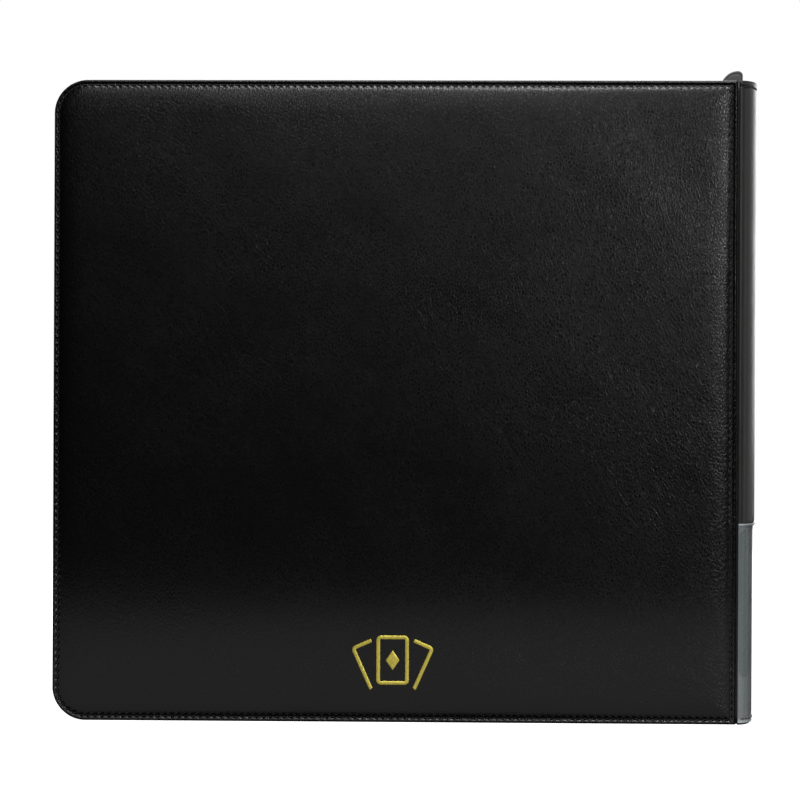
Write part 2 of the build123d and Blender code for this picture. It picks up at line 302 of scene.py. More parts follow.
class BinderSpine(bpy.types.PropertyGroup):
    head_swell: length_of("Head swell", "How much more the spine bulges at its head", 0.2)
    pocket_squeeze: length_of("Pocket squeeze", "How far the tight pocket draws the spine in", 1.9)
    film: length_of("Film", "Thickness of the label pocket's film", 0.3)
    colour: colour_of("Spine leatherette", "Colour of the smooth spine", 0.021, 0.021, 0.020)
    film_colour: colour_of("Film colour", "Colour of the frosted film", 0.33, 0.37, 0.37)
    label_colour: colour_of("Label colour", "Colour of the label card", 0.006, 0.008, 0.009)


class BinderZip(bpy.types.PropertyGroup):
    turn_pitch: length_of("Coil pitch", "From one turn of the coil to the next", 1.45)
    wire: length_of("Coil wire", "Thickness of the coil's wire", 0.62)


class BinderLeaf(bpy.types.PropertyGroup):
    columns: IntProperty(name="Columns", description="Pockets across a leaf", default=4)
    rows: IntProperty(name="Rows", description="Pockets up a leaf", default=3)
    weld: length_of("Weld", "Width of the welds between pockets", 2.5)
    swell: length_of("Swell", "How far a pocket's film stands off the weld", 0.42)


class BinderEmblem(bpy.types.PropertyGroup):
    line: length_of("Line", "Width of the foil's lines", 2.0)
    colour: colour_of("Foil", "Colour of the gold foil", 1.0, 0.83, 0.14)


class BinderStage(bpy.types.PropertyGroup):
    distance: FloatProperty(
        name="Camera distance", description="From the back cover to the camera", default=1.9, unit="LENGTH")
    lens: FloatProperty(name="Lens", description="Focal length in millimetres", default=169.7)
    azimuth: angle_of("Azimuth", "Camera's turn towards the spine", 1.9)
    roll: angle_of("Roll", "Camera's turn about its own axis", -0.25)
    side_shift: length_of("Aim across", "Camera's aim along X", -2.65)
    aim_height: length_of("Aim height", "Camera's aim above the floor", 162.6)


# ---- materials ----

def fill(tree, node, inputs):
    """Sets a node's sockets to values, or links them to other nodes' outputs."""
    for key, value in inputs.items():
        if isinstance(value, bpy.types.NodeSocket):
            tree.links.new(value, node.inputs[key])
        else:
            node.inputs[key].default_value = value


def add(tree, kind, inputs=None, **settings):
    """A node with its settings and its sockets filled."""
    node = tree.nodes.new("ShaderNode" + kind)
    for key, value in settings.items():
        setattr(node, key, value)
    fill(tree, node, inputs or {})
    return node


class Finish:
    """A principled surface in the making, whose nodes read the object's own coordinates."""

    def __init__(self, name):
        self.material = bpy.data.materials.new(name)
        self.material.use_nodes = True
        self.tree = self.material.node_tree
        self.tree.nodes.clear()
        self.shader = self.add("BsdfPrincipled")
        self.add("OutputMaterial", {"Surface": self.shader.outputs["BSDF"]})
        self.place = self.add("TexCoord").outputs["Object"]

    def add(self, kind, inputs=None, **settings):
        return add(self.tree, kind, inputs, **settings)

    def surface(self, **inputs):
        """Sets or links the shader's own sockets, and gives the material back."""
        fill(self.tree, self.shader, {key.replace("_", " "): value for key, value in inputs.items()})
        return self.material

    def ramp(self, factor, *stops):
        """A ramp of grey levels over a factor."""
        node = self.add("ValToRGB", {"Fac": factor})
        elements = node.color_ramp.elements
        for element, (position, level) in zip(elements, (stops[0], stops[-1])):
            element.position, element.color = position, (level, level, level, 1)
        for position, level in stops[1:-1]:
            elements.new(position).color = (level, level, level, 1)
        return node.outputs["Color"]

    def noise(self, scale, detail=4.0, roughness=0.55, output="Fac"):
        """Soft noise, scale in cells per metre."""
        inputs = {"Vector": self.place, "Scale": scale, "Detail": detail, "Roughness": roughness}
        return self.add("TexNoise", inputs).outputs[output]

    def cells(self, scale, place=None, feature="F1"):
        """The distance from the middles of scattered cells, or from the lines between them."""
        inputs = {"Vector": place or self.place, "Scale": scale}
        return self.add("TexVoronoi", inputs, feature=feature).outputs["Distance"]

    def warped(self, share, scale):
        """The object's coordinates pushed about by a share of a soft noise."""
        inputs = {"Factor": share, 4: self.place, 5: self.noise(scale, 3.0, 0.5, "Color")}
        return self.add("Mix", inputs, data_type="VECTOR").outputs[1]

    def turned(self, place, rotation, scale=(1.0, 1.0, 1.0)):
        return self.add("Mapping", {"Vector": place, "Rotation": rotation, "Scale": scale}).outputs["Vector"]

    def sum(self, operation, *values):
        """One sum of one to three numbers."""
        return self.add("Math", dict(enumerate(values)), operation=operation).outputs[0]

    def between(self, factor, dark, light):
        """A colour between two, by a factor."""
        inputs = {"Factor": factor, 6: (*dark, 1), 7: (*light, 1)}
        return self.add("Mix", inputs, data_type="RGBA").outputs[2]

    def tint(self, factor, colour, dark, light):
        """A colour from a darker to a lighter share of itself, by a factor."""
        return self.between(factor, scaled(colour, dark), scaled(colour, light))

    def bump(self, height, distance, strength=1.0, under=None):
        """Bends the shading by a height map; distance is the height in metres of level 1."""
        inputs = {"Height": height, "Distance": distance, "Strength": strength}
        if under is not None:
            inputs["Normal"] = under
        normal = self.add("Bump", inputs).outputs["Normal"]
        fill(self.tree, self.shader, {"Normal": normal})
        return normal


def scaled(colour, share):
    """A colour made lighter or darker."""
    return tuple(min(1.0, channel * share) for channel in colour)


def grained_leatherette(name, colour, grain, smoothness, seam_inset):
    """Black grained leatherette: small flat cells, finer pores, sparse creases, and a pull at each stitch.

    The creases are the lines between large slanted cells, where a soft noise lets them show. Beside the seam
    a cosine along it, times a bell curve across it, dimples the leather once to a stitch.
    """
    make = Finish(name)
    small = make.turned(make.warped(0.0009, 260.0), (0.0, 0.5, 0.0), (1.0, 1.0, 0.62))
    pebbles = make.ramp(make.cells(800.0, small, "DISTANCE_TO_EDGE"), (0.0, 0.1), (0.13, 0.62), (0.36, 1.0))
    pores = make.noise(1500.0, 4.0, 0.65)
    slanted = make.turned(make.warped(0.10, 14.0), (0.0, 0.62, 0.0), (1.0, 1.0, 0.36))
    crease = make.ramp(make.cells(95.0, slanted, "DISTANCE_TO_EDGE"), (0.0, 0.0), (0.035, 0.75), (0.1, 1.0))
    patches = make.ramp(make.noise(17.0, 2.0), (0.42, 0.0), (0.62, 1.0))
    crease_depth = make.sum("MULTIPLY", make.sum("SUBTRACT", 1.0, crease), patches)
    fine = make.sum("MULTIPLY_ADD", pores, 0.9, pebbles)
    height = make.sum("MULTIPLY_ADD", crease_depth, -0.7, fine)
    seam = make.add("SeparateXYZ", {"Vector": make.add("UVMap", uv_map="seam").outputs["UV"]})
    off = make.sum("SUBTRACT", seam.outputs["Y"], seam_inset / MM)
    off_squared = make.sum("POWER", make.sum("ABSOLUTE", off), 2.0)
    near = make.sum("POWER", math.e, make.sum("MULTIPLY", off_squared, -1.1))
    pull = make.sum("COSINE", make.sum("MULTIPLY", seam.outputs["X"], math.tau))
    dimples = make.bump(make.sum("MULTIPLY", near, pull), 0.16 * MM)
    make.bump(height, grain, under=dimples)
    worn = make.ramp(make.noise(26.0, 5.0, 0.6), (0.3, 0.0), (0.7, 1.0))
    rough = make.ramp(make.sum("MULTIPLY_ADD", worn, 0.5, pebbles),
                      (0.0, smoothness + 0.08), (0.7, smoothness + 0.01), (1.5, smoothness - 0.03))
    return make.surface(Base_Color=make.tint(worn, colour, 0.85, 1.2), Roughness=rough)


def smooth_leatherette(name, colour, roughness):
    """Smooth black leatherette with a faint pore and a satin sheen."""
    make = Finish(name)
    make.bump(make.sum("MULTIPLY_ADD", make.noise(120.0, 3.0), 2.2, make.noise(2600.0, 2.0)), 0.02 * MM)
    worn = make.ramp(make.noise(40.0, 5.0), (0.3, 0.0), (0.7, 1.0))
    rough = make.ramp(worn, (0.0, roughness - 0.03), (1.0, roughness + 0.05))
    return make.surface(Base_Color=make.tint(worn, colour, 0.85, 1.2), Roughness=rough)


def twisted_thread(name, colour):
    """Waxed thread: fine slanting plies."""
    make = Finish(name)
    slanting = make.turned(make.place, (0.5, 0.7, 0.3))
    plies = make.add("TexWave", {"Vector": slanting, "Scale": 520.0, "Distortion": 1.5, "Detail": 1.0})
    plies = plies.outputs["Fac"]
    make.bump(plies, 0.06 * MM)
    return make.surface(Base_Color=make.tint(make.noise(900.0, 3.0), colour, 0.6, 1.6),
                        Roughness=make.ramp(plies, (0.0, 0.55), (1.0, 0.36)))


def woven_cloth(name, colour, threads, depth=0.08 * MM):
    """Plain weave: two crossed sets of threads, threads in cells per metre, over and under. Its colour is
    painted shade in the weave's hollows and painted highlight on its crests.
    """
    make = Finish(name)
    apart = make.add("SeparateXYZ", {"Vector": make.place}).outputs
    x, y, z = (make.sum("SINE", make.sum("MULTIPLY", apart[axis], threads * math.pi)) for axis in "XYZ")
    weave = make.sum("ADD", make.sum("MULTIPLY", x, z), make.sum("MULTIPLY", y, make.sum("ADD", x, z)))
    make.bump(make.sum("MULTIPLY_ADD", make.noise(threads * 3.0, 2.0), 0.5, weave), depth)
    # Painted shade in the weave's hollows and painted highlight on its crests: the colour follows the weave's
    # height.
    painted_weave_shade = make.ramp(make.sum("MULTIPLY_ADD", weave, 0.5, 0.5), (0.0, 0.0), (1.0, 1.0))
    return make.surface(Base_Color=make.tint(painted_weave_shade, colour, 0.6, 1.4), Roughness=0.8, Sheen_Weight=0.12,
                        Sheen_Roughness=0.4)


def frosted_film(name, colour):
    """Hazy flexible film, clearer in its middle and milky along its open lip and its sewn foot."""
    make = Finish(name)
    height = make.add("SeparateXYZ", {"Vector": make.place}).outputs["Z"]
    lip = make.sum("MULTIPLY", make.sum("SUBTRACT", window_high.z, height), 1.0 / (1.2 * MM))
    foot = make.sum("MULTIPLY", make.sum("SUBTRACT", height, window_low.z), 1.0 / (2.4 * MM))
    edge = make.ramp(make.sum("MINIMUM", lip, foot), (0.35, 1.0), (1.0, 0.0))
    cloud = make.noise(55.0)
    haze = make.sum("MULTIPLY_ADD", cloud, 0.14, 0.36)
    make.bump(make.noise(150.0, 3.0), 0.03 * MM)
    return make.surface(Alpha=make.sum("MAXIMUM", make.sum("MULTIPLY", edge, 0.75), haze),
                        Base_Color=make.tint(edge, colour, 1.0, 2.1),
                        Roughness=make.ramp(cloud, (0.3, 0.24), (0.7, 0.38)), IOR=1.48)


def speckled(name, colour, scale, detail, roughness, share, depth):
    """A matt surface with a fine speck in its colour and height."""
    make = Finish(name)
    speck = make.noise(scale, detail, roughness)
    make.bump(speck, depth)
    return make, speck, make.tint(speck, colour, *share)


def matt_card(name, colour):
    """Uncoated label card with a fine fibre."""
    make, _, base = speckled(name, colour, 1400.0, 4.0, 0.65, (0.85, 1.15), 0.03 * MM)
    return make.surface(Base_Color=base, Roughness=0.7)


def pressed_board(name, colour, scale=700.0, roughness=0.9):
    """Pressed fibre board or foam: a coarse speckle."""
    make, _, base = speckled(name, colour, scale, 5.0, 0.7, (0.7, 1.2), 0.1 * MM)
    return make.surface(Base_Color=base, Roughness=roughness)


def moulded_plastic(name, colour, roughness):
    """Black moulded plastic with a fine spark texture."""
    make, spark, base = speckled(name, colour, 1600.0, 3.0, 0.55, (0.8, 1.25), 0.03 * MM)
    rough = make.ramp(spark, (0.3, roughness - 0.05), (0.7, roughness + 0.08))
    return make.surface(Base_Color=base, Roughness=rough)


def stamped_foil(name, colour):
    """Hot-stamped gold foil that takes a little of the leather's grain."""
    make = Finish(name)
    make.bump(make.cells(1050.0), 0.05 * MM, 0.8)
    rub = make.ramp(make.noise(700.0), (0.35, 0.0), (0.65, 1.0))
    return make.surface(Base_Color=make.tint(rub, colour, 0.72, 1.0), Metallic=0.6,
                        Roughness=make.ramp(rub, (0.0, 0.50), (1.0, 0.36)))


def enamelled_zinc(name, colour):
    """Black enamelled zinc, rubbed a little brighter."""
    make = Finish(name)
    rub = make.ramp(make.noise(420.0, 5.0), (0.45, 0.0), (0.75, 1.0))
    make.bump(make.noise(1200.0, 2.0), 0.015 * MM)
    return make.surface(Base_Color=make.tint(rub, colour, 1.0, 2.2), Metallic=0.85,
                        Roughness=make.ramp(rub, (0.0, 0.26), (1.0, 0.42)))


def pocket_film(name):
    """Clear glossy pockets over a black core, matt and pressed where the sheet is welded."""
    make = Finish(name)
    weld = make.add("Attribute", attribute_name="weld").outputs["Fac"]
    pressed = make.sum("MULTIPLY", make.cells(1300.0), weld)
    make.bump(make.sum("MULTIPLY_ADD", make.noise(45.0, 2.0), 4.0, pressed), 0.12 * MM)
    return make.surface(Base_Color=make.between(weld, (0.012, 0.012, 0.014), (0.06, 0.06, 0.065)),
                        Roughness=make.ramp(weld, (0.0, 0.13), (1.0, 0.5)),
                        Coat_Weight=0.6, Coat_Roughness=0.06)


def finish_of(name, make, *values):
    """The finish of that name, made the first time it is asked for."""
    full_name = "finish_" + name
    return bpy.data.materials.get(full_name) or make(full_name, *values)


def cover_leather():
    settings = bpy.context.scene.binder_cover
    return finish_of("cover_leatherette", grained_leatherette, settings.colour, settings.grain, 0.27,
                     settings.stitch_inset)


def spine_leather():
    return finish_of("spine_leatherette", smooth_leatherette, bpy.context.scene.binder_spine.colour, 0.42)


def black_thread():
    return finish_of("black_thread", twisted_thread, (0.014, 0.014, 0.014))


# ---- pieces ----

def pad_profile(settings):
    """How the cover's skin runs from behind the lining to the padded face: insets and heights, in metres.

    It turns over the rim as an elliptic bead, falls along half a cosine into the crease where the stitches
    lie, and swells out of it as a power of a quarter sine over the width of the roll.
    """
    rise, seam = settings.flange_rise, settings.stitch_inset
    behind = [(6, 0.75), (1.02, 0.72), (1.02, 0.06)]
    rim = [(0.9, 0.0), (0.55, 0.0), (0.3, 0.05), (0.12, 0.2), (0.02, 0.5), (0.0, 1.0)]
    inset = [pair[0] * MM for pair in behind + rim]
    height = [pair[1] * MM for pair in behind + rim]
    wall = 1.7 * MM
    roll = np.linspace(0, math.pi / 2, 8)
    inset += list(settings.bead * (1 - np.cos(roll)))
    height += list(wall + (rise - wall) * np.sin(roll))
    fall = np.linspace(0, 1, 8)[1:]
    inset += list(settings.bead + (seam - settings.bead) * fall)
    height += list(rise - settings.crease * (1 - np.cos(fall * math.pi)) / 2)
    swell = np.linspace(0, 1, 19)[1:]
    inset += list(seam + settings.pad_roll * swell**1.8)
    height += list(rise - settings.crease + (settings.crease + settings.pad_rise)
                   * np.sin(swell * math.pi / 2) ** 0.7)
    return np.array(inset), np.array(height)


def skin_waves(x, z):
    """Gentle unevenness of soft leatherette over foam: a sum of long slanted sine waves, in metres."""
    random = np.random.default_rng(7)
    total = np.zeros_like(x)
    for wavelength in (0.19, 0.13, 0.085, 0.062, 0.044, 0.031, 0.022):
        turn, phase = random.uniform(0, math.tau, 2)
        across = x * math.cos(turn) + z * math.sin(turn)
        along = z * math.cos(turn) - x * math.sin(turn)
        wander = 0.35 * wavelength * np.sin(math.tau * along / (2.7 * wavelength) + phase)
        total = total + wavelength**1.2 * np.sin(math.tau * (across + wander) / wavelength + phase)
    return total * 0.9 * MM


def crown_height(x, z, settings):
    """The padding's crown: its height times a parabola across and a parabola up, to the power 0.62."""
    seam = settings.stitch_inset
    u = np.clip((x - EDGE_X - seam) / (HINGE_X - EDGE_X - 2 * seam), 0, 1)
    v = np.clip((z - seam) / (HEIGHT - 2 * seam), 0, 1)
    return settings.crown * (16 * u * (1 - u) * v * (1 - v)) ** 0.62


STITCH_COLUMNS = 4
# An inset in millimetres, for the seam map, that is far from any stitch.
FAR_FROM_SEAM = 90.0


def lay_seam_map(piece, insets, outside, ring_faces, columns, other_corners):
    """A UV map round the seam: U counts stitches along the seam, V is the inset in millimetres."""
    row, column = ring_faces[:, 0] // columns, ring_faces[:, 0] % columns
    u = np.stack([column, column + 1, column + 1, column], -1) / STITCH_COLUMNS
    depth = np.where(outside, insets / MM, FAR_FROM_SEAM)
    v = np.stack([depth[row], depth[row], depth[row + 1], depth[row + 1]], -1)
    far = np.tile([0.0, FAR_FROM_SEAM], other_corners)
    values = np.concatenate([np.stack([u, v], -1).ravel(), far]).astype(np.float32)
    layer = piece.data.uv_layers.new(name="seam")
    layer.data.foreach_set("uv", values)


def build_cover_skin(side_name):
    """One cover's leather: rings of points from behind the lining over the rim to the pad, and a Coons patch.

    Each ring is the outline moved in by an inset, at a height from the profile, with four points to a
    stitch; the fore-edge corners' radius shrinks with the inset. The patch, with two points to a stitch,
    fills the padded face, and five-sided faces join it to the last ring. Soft waves, a low crown and a
    cosine pucker beside the seam are added to the height.
    """
    settings = bpy.context.scene.binder_cover
    side = SIDES[side_name]
    across, up = STITCH_COLUMNS * settings.stitches_across, STITCH_COLUMNS * settings.stitches_up
    insets, heights = pad_profile(settings)
    least = 8.5 * MM
    rings = np.stack([outline_ring(d, max(settings.corner - d, least), across, up) for d in insets])
    count = rings.shape[1]
    x, z = rings[..., 0], rings[..., 1]
    outside = np.arange(len(insets)) > 8
    past_seam = insets - settings.stitch_inset
    waved = (smooth_step(past_seam / (10 * MM)) * outside)[:, None]
    outward = heights[:, None] + skin_waves(x * side, z) * waved
    outward += crown_height(x, z, settings) * (smooth_step(past_seam / (3 * MM)) * outside)[:, None]
    beside = np.exp(-((past_seam / (1.1 * MM)) ** 2)) * outside
    phase = math.tau * np.arange(count) / STITCH_COLUMNS
    outward += settings.pucker * beside[:, None] * np.cos(phase)[None]
    patch_inset = insets[-1] + 1.6 * MM
    patch = inner_patch(patch_inset, max(settings.corner - patch_inset, least), across // 2, up // 2)
    px, pz = patch[..., 0], patch[..., 1]
    patch_out = heights[-1] + skin_waves(px * side, pz) + crown_height(px, pz, settings)
    ring_points = np.stack([x, side * (INNER_Y + outward), z], -1).reshape(-1, 3)
    patch_points = np.stack([px, side * (INNER_Y + patch_out), pz], -1).reshape(-1, 3)
    rows, columns = patch.shape[:2]
    first = len(ring_points)
    faces = grid_faces(len(insets), count, wrap_columns=True)
    inner = first + np.arange(rows * columns).reshape(rows, columns)
    edge = np.concatenate([inner[0, :-1], inner[:-1, -1], inner[-1, :0:-1], inner[:0:-1, 0]])
    start = first - count + np.arange(0, count, 2)
    end = first - count + np.arange(2, count + 2, 2) % count
    join = np.stack([start, start + 1, end, np.roll(edge, -1), edge], -1)
    patch_faces = grid_faces(rows, columns, first=first)
    cap = np.arange(count)[None, ::-1]
    points = np.concatenate([ring_points, patch_points])
    piece = mesh_piece(side_name + "_cover_skin", points, [faces, join, patch_faces, cap])
    lay_seam_map(piece, insets, outside, faces, count, join.size + patch_faces.size + cap.size)
    body = side_name + "_cover"
    finished(piece, cover_leather(), body, body + "_leather", slot="cover_leatherette")
    return piece


def thread_stitches(name, places, ways, outs, length, thick, dip):
    """Separate stitches: each is a short rope section, round across, whose two ends dive into the leather.

    The centreline is a shallow arch along the seam, and the radius closes to a point like a superellipse.
    """
    rows, around = 9, 7
    t = np.linspace(-1, 1, rows)
    a = np.arange(around) / around * math.tau
    radius = thick / 2 * (1 - np.abs(t) ** 5 * 0.93) ** 0.5
    sides = np.cross(outs, ways)
    random = np.random.default_rng(11)
    slant = random.normal(0, 0.055, len(places))[:, None]
    ways = ways + slant * sides
    ways = ways / np.linalg.norm(ways, axis=1, keepdims=True)
    sides = np.cross(outs, ways)
    lift = thick * 0.20 - dip * np.abs(t) ** 3
    centre = (places[:, None] + ways[:, None] * (t * length / 2)[None, :, None]
              + outs[:, None] * lift[None, :, None])
    ring = (outs[:, None, None] * np.cos(a)[None, None, :, None]
            + sides[:, None, None] * np.sin(a)[None, None, :, None])
    points = centre[:, :, None] + ring * radius[None, :, None, None]
    one = grid_faces(rows, around, wrap_columns=True)
    caps = np.stack([np.arange(around)[::-1], (rows - 1) * around + np.arange(around)])
    offset = (np.arange(len(places)) * rows * around)[:, None, None]
    quads = (one[None] + offset).reshape(-1, 4)
    ends = (caps[None] + offset).reshape(-1, around)
    return mesh_piece(name, points.reshape(-1, 3), [quads, ends])


def build_cover_stitches(side_name):
    """The closed row of stitches in the crease: one to every four of the skin's columns."""
    settings = bpy.context.scene.binder_cover
    side = SIDES[side_name]
    seam = settings.stitch_inset
    across, up = STITCH_COLUMNS * settings.stitches_across, STITCH_COLUMNS * settings.stitches_up
    ring = outline_ring(seam, settings.corner - seam, across, up)
    before, places = ring[::STITCH_COLUMNS], ring[STITCH_COLUMNS // 2::STITCH_COLUMNS]
    after = np.roll(before, -1, axis=0)
    ways = after - before
    pitch = np.linalg.norm(ways, axis=1)
    ways = np.stack([ways[:, 0], 0 * pitch, ways[:, 1]], -1) / pitch[:, None]
    outs = np.tile([0.0, side, 0.0], (len(places), 1))
    depth = INNER_Y + settings.flange_rise - settings.crease + 0.16 * MM
    places = np.stack([places[:, 0], np.full(len(places), side * depth), places[:, 1]], -1)
    piece = thread_stitches(side_name + "_cover_stitches", places, ways, outs,
                            pitch.mean() * 0.84, settings.thread, 0.42 * MM)
    body = side_name + "_cover"
    return finished(piece, black_thread(), body, body + "_stitching", slot="black_thread")


def spine_bulge(z):
    """The spine's bulge at a height: drawn in under the label pocket, and fuller towards the head."""
    settings = bpy.context.scene.binder_spine
    swell = settings.head_swell * smooth_step((z / HEIGHT - 0.45) / 0.55)
    squeeze = settings.pocket_squeeze * smooth_step((window_high.z + 1.5 * MM - z) / (4 * MM))
    return spine_high.x - spine_low.x - 0.1 * MM + swell - squeeze


def spine_point(turn, z, grow):
    """A point on the spine's elliptic face at a turn from its apex, moved outwards by grow."""
    x = SPINE_X + (spine_bulge(z) + grow) * np.cos(turn)
    y = (spine_high.y + grow) * np.sin(turn)
    return np.stack(np.broadcast_arrays(x, y, z), -1)


def spine_outward(turn, z):
    """The unit direction square to the spine's face."""
    x = np.cos(turn) * spine_high.y
    y = np.sin(turn) * spine_bulge(z)
    size = np.hypot(x, y)
    return np.stack([x / size, y / size, 0 * turn], -1)


def build_spine_skin():
    """The spine's smooth leather: an elliptic shell whose two ends are rolled over and sewn down.

    Each section is the outer ellipse and back along the inner one. Near the ends the section shrinks as a
    quarter round, and a shallow dip runs under each row of stitches.
    """
    wall = 1.2 * MM
    count = 49
    turn = np.linspace(-math.pi / 2, math.pi / 2, count)
    roll = np.linspace(0, math.pi / 2, 6)
    edge = 0.7 * MM
    foot = edge * (1 - np.sin(roll))[::-1]
    near = np.concatenate([edge * (1 - np.cos(roll)), np.linspace(1.0, 5.4, 23) * MM])
    lip = window_high.z + np.linspace(-3.5, 3.5, 15) * MM
    middle = np.concatenate([np.linspace(7 * MM, lip[0] - 2 * MM, 26), lip,
                             np.linspace(lip[-1] + 2 * MM, HEIGHT - 7 * MM, 60)])
    z = np.concatenate([near, middle, HEIGHT - near[::-1]])
    tuck = np.concatenate([edge * (1 - np.sin(roll)), np.zeros(23)])
    tuck = np.concatenate([tuck, np.zeros(len(middle)), tuck[::-1]])
    dip = 0.28 * MM * (np.exp(-(((z - SPINE_SEAM) / (0.55 * MM)) ** 2))
                       + np.exp(-(((z - HEIGHT + SPINE_SEAM) / (0.55 * MM)) ** 2)))
    rolled = 0.16 * MM * (np.exp(-(((z - 1.5 * MM) / (0.9 * MM)) ** 2))
                          + np.exp(-(((z - HEIGHT + 1.5 * MM) / (0.9 * MM)) ** 2)))
    grow = (rolled - dip - tuck)[:, None]
    outer = spine_point(turn[None], z[:, None], grow)
    inner = spine_point(turn[None, ::-1], z[:, None], -wall + tuck[:, None] * 0.6)
    sections = np.concatenate([outer, inner], axis=1)
    piece = closed_sweep("spine_skin", sections)
    return finished(piece, spine_leather(), "spine", "spine_leather", slot="spine_leatherette")


def build_spine_stitches():
    """Stitches across the spine's head and, over the film, its foot, at even steps round the ellipse."""
    settings = bpy.context.scene.binder_cover
    turn = np.linspace(-1.40, 1.40, 200)
    rows = []
    for height, grow in ((SPINE_SEAM, 0.95 * MM), (HEIGHT - SPINE_SEAM, -0.12 * MM)):
        path = spine_point(turn, np.full_like(turn, height), grow)
        places, ways = even_path(path, False, 3.3 * MM)
        share_y = places[:, 1] / (spine_high.y + grow)
        angle = np.arctan2(share_y, (places[:, 0] - SPINE_X) / spine_bulge(height))
        rows.append((places, ways, spine_outward(angle, height)))
    places, ways, outs = (np.concatenate([row[k] for row in rows]) for k in range(3))
    piece = thread_stitches("spine_stitches", places, ways, outs, 2.5 * MM, settings.thread, 0.4 * MM)
    return finished(piece, black_thread(), "spine", "spine_stitching", slot="black_thread")


def build_label_film(name, finish, milk, stand, bead_size, *nodes):
    """One frosted sheet of the label pocket: an elliptic sheet round the spine's foot with a beaded lip."""
    film = bpy.context.scene.binder_spine.film
    turn = np.linspace(-1.545, 1.545, 61)
    z = np.concatenate([
        window_low.z + np.array([0, 0.15, 0.5, 1.2, 2.4]) * MM,
        np.linspace(window_low.z + 5 * MM, window_high.z - 4 * MM, 30),
        window_high.z - np.array([1.6, 0.9, 0.6, 0.3, 0.1, 0.0]) * MM,
    ])
    bead = bead_size * np.exp(-(((z - window_high.z + 0.45 * MM) / (0.3 * MM)) ** 2))[:, None]
    sag = 0.07 * MM * np.sin(turn * 3.1 + 0.4)[None] * np.sin(z * 61.0)[:, None]
    outer = spine_point(turn[None], z[:, None], stand + film / 2 + bead + sag)
    inner = spine_point(turn[None, ::-1], z[:, None], stand - film / 2 - bead * 0.3 + sag[:, ::-1])
    piece = closed_sweep(name, np.concatenate([outer, inner], axis=1))
    colour = scaled(bpy.context.scene.binder_spine.film_colour, milk)
    return finished(piece, finish_of(finish, frosted_film, colour), "spine", *nodes, slot="clear_film")


def build_label_card():
    """The label: an elliptic sheet with rounded lower corners and a gently arched lower edge.

    Across, points crowd towards its two sides. The lower edge is the card's foot plus a parabola in arc
    length that peaks in the middle plus a quarter round at each corner; rows run evenly from it up.
    """
    corner, arch = 4.0 * MM, 3.6 * MM
    widest = math.radians(86)
    turn = widest * np.sin(np.linspace(-math.pi / 2, math.pi / 2, 81))
    radius = np.hypot(spine_bulge(card_low.z) * np.sin(turn), spine_high.y * np.cos(turn))
    steps = np.diff(turn) * (radius[1:] + radius[:-1]) / 2
    arc = np.concatenate([[0], np.cumsum(steps)])
    arc = arc - arc[-1] / 2
    over = np.clip(np.abs(arc) - (arc[-1] - corner), 0, corner)
    turned = corner - np.sqrt(np.maximum(corner**2 - over**2, 0))
    foot = card_low.z + arch * np.clip(1 - (arc / (arc[-1] - corner)) ** 2, 0, 1) + turned
    head = card_high.z - turned
    rows = np.linspace(0, 1, 40)[:, None]
    z = foot[None] * (1 - rows) + head[None] * rows
    face = spine_point(turn[None], z, 0.58 * MM)
    back = spine_point(turn[None], z, 0.42 * MM)
    points = np.concatenate([face.reshape(-1, 3), back.reshape(-1, 3)])
    piece = mesh_piece("label_sheet", points, sheet_faces(*z.shape))
    colour = bpy.context.scene.binder_spine.label_colour
    finished(piece, finish_of("label_card", matt_card, colour), "label", "label_card", slot="label_card")
    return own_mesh(piece)


def build_hinge_leather(side_name):
    """The fold of leather in the crease and the inner strip behind it, bending from spine to cover.

    Each is a flat loop section carried up the spine; the section's middle sinks inwards like a crease.
    """
    side = SIDES[side_name]
    z = np.linspace(0.4 * MM, HEIGHT - 0.6 * MM, 60)[:, None]
    pieces = []
    crease_y = INNER_Y + 2.2 * MM
    inner_y = INNER_Y - 0.35 * MM
    runs = (
        ("hinge_crease_", crease_y, HINGE_X - 0.9 * MM, SPINE_X + 0.9 * MM, 0.5 * MM, -0.5 * MM),
        ("hinge_lining_", inner_y, HINGE_X - 9.0 * MM, SPINE_X + 2.2 * MM, 0.22 * MM, -0.25 * MM),
    )
    for name, y, x0, x1, thick, sink in runs:
        t = np.linspace(0, 1, 17)[None]
        x = x0 + (x1 - x0) * t
        sag = sink * np.sin(t * math.pi)
        face = np.stack([x + 0 * z, side * (y + sag + thick / 2) + 0 * z, z + 0 * t], -1)
        rear = np.stack([x + 0 * z, side * (y + sag - thick / 2) + 0 * z, z + 0 * t], -1)[:, ::-1]
        piece = closed_sweep(name + side_name, np.concatenate([face, rear], axis=1))
        finished(piece, spine_leather(), None, slot="spine_leatherette")
        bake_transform(piece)
        pieces.append(piece)
    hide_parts("hinge_strip_" + side_name)
    return pieces


def path_of_zip(inset, step):
    """The open U that the zip follows, at even steps: in along the top, round the fore-edge, out below."""
    radius = bpy.context.scene.binder_cover.corner - inset
    end = coil_high.x
    shares = np.linspace(0, 1, 600)
    top, fore, bottom = (rounded_side(inset, radius, shares, side) for side in ("top", "fore", "bottom"))
    line = np.concatenate([top[top[:, 0] <= end], fore[1:-1], bottom[bottom[:, 0] <= end]])
    return even_path(line, False, step)


